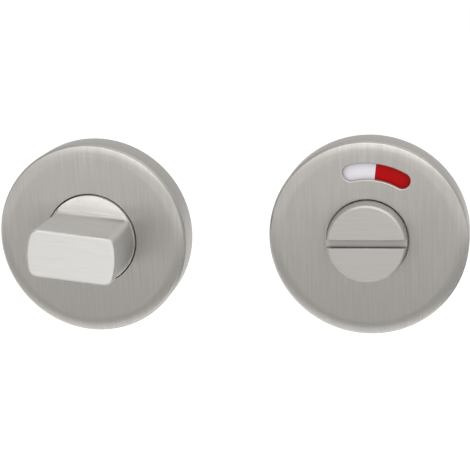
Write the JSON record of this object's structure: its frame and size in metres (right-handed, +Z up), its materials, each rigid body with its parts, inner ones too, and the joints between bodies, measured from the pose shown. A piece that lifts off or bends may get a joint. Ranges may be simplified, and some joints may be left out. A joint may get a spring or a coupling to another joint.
{
  "type": "bathroom thumb turn lock",
  "caption": "Round bathroom lock set: inside rose with a flat-sided thumb turn and spindle, outside rose with a coin-slot release and an arc window over a white and red indicator disc.",
  "frame": {"origin": "on the thumb turn's axis, at the door face that both roses stand on", "axes": "+X from the turn half to the release half, -Y out of the door towards the user, +Z up"},
  "size_m": [0.1266, 0.0734, 0.052],
  "materials": {
    "rose_steel": "satin brushed stainless steel, grain upright on the face and round the rim",
    "turn_steel": "satin brushed stainless steel, grain across the front",
    "base_nylon": "black glass-filled nylon, as moulded",
    "bush_nylon": "natural acetal, as moulded",
    "plated_steel": "bright zinc plate",
    "spring_steel": "phosphated spring steel, dark and oiled",
    "white_plastic": "white moulded plastic",
    "red_plastic": "red moulded plastic"
  },
  "bodies": {
    "roses": {"turn_rose_cover": "rose_steel", "turn_base_plate": "base_nylon", "turn_bush": "bush_nylon", "turn_screw_left": "plated_steel", "turn_screw_right": "plated_steel", "release_rose_cover": "rose_steel", "release_base_plate": "base_nylon", "release_bush": "bush_nylon", "release_screw_left": "plated_steel", "release_screw_right": "plated_steel"},
    "turn": {"thumb_turn": "turn_steel", "turn_spindle": "plated_steel", "spindle_pin": "spring_steel", "turn_disc_spring": "spring_steel", "turn_circlip": "spring_steel"},
    "release": {"release_head": "turn_steel", "indicator_disc": "white_plastic", "indicator_red_field": "red_plastic", "release_disc_spring": "spring_steel", "release_circlip": "spring_steel"}
  },
  "joints": [
    {"name": "turn_hinge", "type": "hinge", "parent": "roses", "child": "turn", "pos_m": [0, 0, 0], "axis": [0, -1, 0], "range_deg": [-38, 52]},
    {"name": "release_hinge", "type": "hinge", "parent": "roses", "child": "release", "pos_m": [0.0746, 0, 0], "axis": [0, -1, 0], "range_deg": [-45, 45]}
  ]
}
